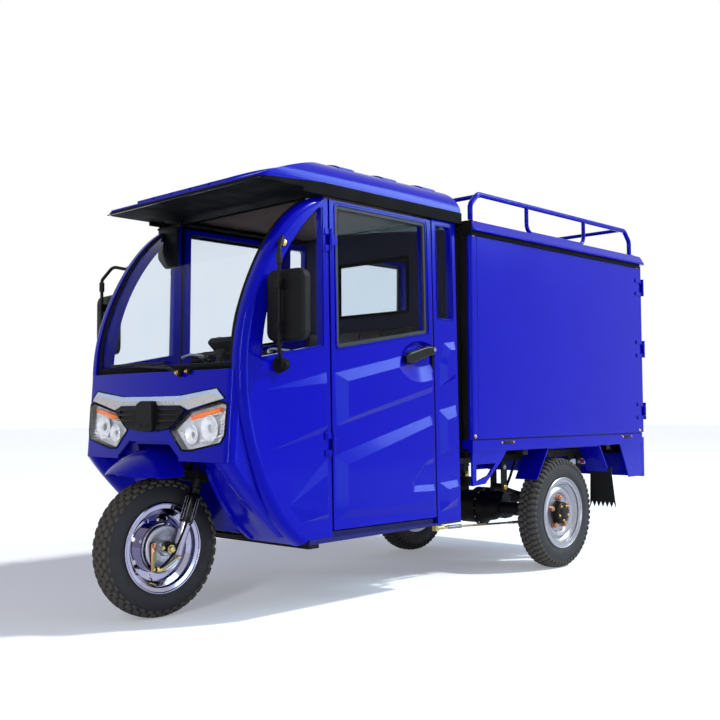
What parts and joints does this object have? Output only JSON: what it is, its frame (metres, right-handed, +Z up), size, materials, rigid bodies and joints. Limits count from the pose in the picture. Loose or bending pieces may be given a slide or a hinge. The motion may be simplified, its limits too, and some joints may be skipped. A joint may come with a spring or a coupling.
{
  "type": "electric cargo tricycle",
  "caption": "Enclosed electric cargo tricycle with a steered front wheel, a driver's cab, a van box with rear doors and a tube roof rack.",
  "frame": {"origin": "on the ground under the middle of the vehicle's overall length and width", "axes": "-Y forwards, +X to the driver's left, +Z up"},
  "size_m": [1.331, 3.1189, 1.788],
  "materials": {
    "blue_paint": "high gloss",
    "black_paint": "satin",
    "black_plastic": "satin",
    "grey_plastic": "satin",
    "trim_plastic": "gloss",
    "lamp_glass": "clear",
    "red_plastic": "gloss",
    "clear_glass": "clear",
    "black_rubber": "matt",
    "tyre_rubber": "matt",
    "bright_steel": "zinc plated",
    "seat_cover": "matt"
  },
  "bodies": {
    "chassis": {"front_pillars": "blue_paint", "front_quarter_panels": "blue_paint", "rear_quarter_panels": "blue_paint", "fixed_glass": "clear_glass", "front_fascia": "blue_paint", "headlamps": "lamp_glass", "grille": "black_plastic", "lamp_garnish": "trim_plastic", "windscreen": "clear_glass", "lower_apron": "blue_paint", "cab_floor": "blue_paint", "cab_rear_wall": "blue_paint", "cab_roof": "blue_paint", "roof_lining": "black_plastic", "dashboard": "grey_plastic", "battery_box": "black_paint", "seat_cushion": "seat_cover", "seat_back": "seat_cover", "mirrors": "black_plastic", "wiper": "black_plastic", "chassis_frame": "black_paint", "mudguards": "blue_paint", "mud_flaps": "black_rubber", "tail_lamps": "red_plastic", "rear_axle": "black_paint", "leaf_springs": "black_paint", "brake_rods": "bright_steel", "cargo_floor": "blue_paint", "cargo_sides": "blue_paint", "cargo_front_wall": "blue_paint", "cargo_roof": "blue_paint", "roof_rack": "blue_paint", "cab_box_seal": "black_rubber"},
    "cab_door_left": {"cab_door_left": "blue_paint", "door_glass_left": "clear_glass", "door_handle_left": "black_plastic"},
    "cab_door_right": {"cab_door_right": "blue_paint", "door_glass_right": "clear_glass", "door_handle_right": "black_plastic"},
    "cargo_door_left": {"cargo_door_left": "blue_paint"},
    "cargo_door_right": {"cargo_door_right": "blue_paint"},
    "steering": {"front_fork": "black_paint", "handlebar": "black_paint", "front_fender": "blue_paint"},
    "front_wheel": {"front_tyre": "tyre_rubber", "front_rim": "bright_steel"},
    "rear_wheel_left": {"rear_tyre_left": "tyre_rubber", "rear_rim_left": "bright_steel"},
    "rear_wheel_right": {"rear_tyre_right": "tyre_rubber", "rear_rim_right": "bright_steel"}
  },
  "joints": [
    {"name": "steering", "type": "hinge", "parent": "chassis", "child": "steering", "pos_m": [0, -1.2565, 0.261], "axis": [0, 0.342, 0.9397], "range_deg": [-35, 35]},
    {"name": "front_wheel_spin", "type": "hinge", "parent": "steering", "child": "front_wheel", "pos_m": [0, -1.2985, 0.261], "axis": [1, 0, 0], "continuous": true},
    {"name": "rear_wheel_left_spin", "type": "hinge", "parent": "chassis", "child": "rear_wheel_left", "pos_m": [0.4675, 0.7175, 0.267], "axis": [1, 0, 0], "continuous": true},
    {"name": "rear_wheel_right_spin", "type": "hinge", "parent": "chassis", "child": "rear_wheel_right", "pos_m": [-0.4675, 0.7175, 0.267], "axis": [1, 0, 0], "continuous": true},
    {"name": "cab_door_left_hinge", "type": "hinge", "parent": "chassis", "child": "cab_door_left", "pos_m": [0.51, -0.8515, 0.3], "axis": [0.0157, 0, -0.9999], "range_deg": [0, 70]},
    {"name": "cab_door_right_hinge", "type": "hinge", "parent": "chassis", "child": "cab_door_right", "pos_m": [-0.51, -0.8515, 0.3], "axis": [0.0157, 0, 0.9999], "range_deg": [0, 70]},
    {"name": "cargo_door_left_hinge", "type": "hinge", "parent": "chassis", "child": "cargo_door_left", "pos_m": [0.526, 1.5395, 1.1], "axis": [0, 0, -1], "range_deg": [0, 180]},
    {"name": "cargo_door_right_hinge", "type": "hinge", "parent": "chassis", "child": "cargo_door_right", "pos_m": [-0.526, 1.5395, 1.1], "axis": [0, 0, 1], "range_deg": [0, 180]}
  ]
}
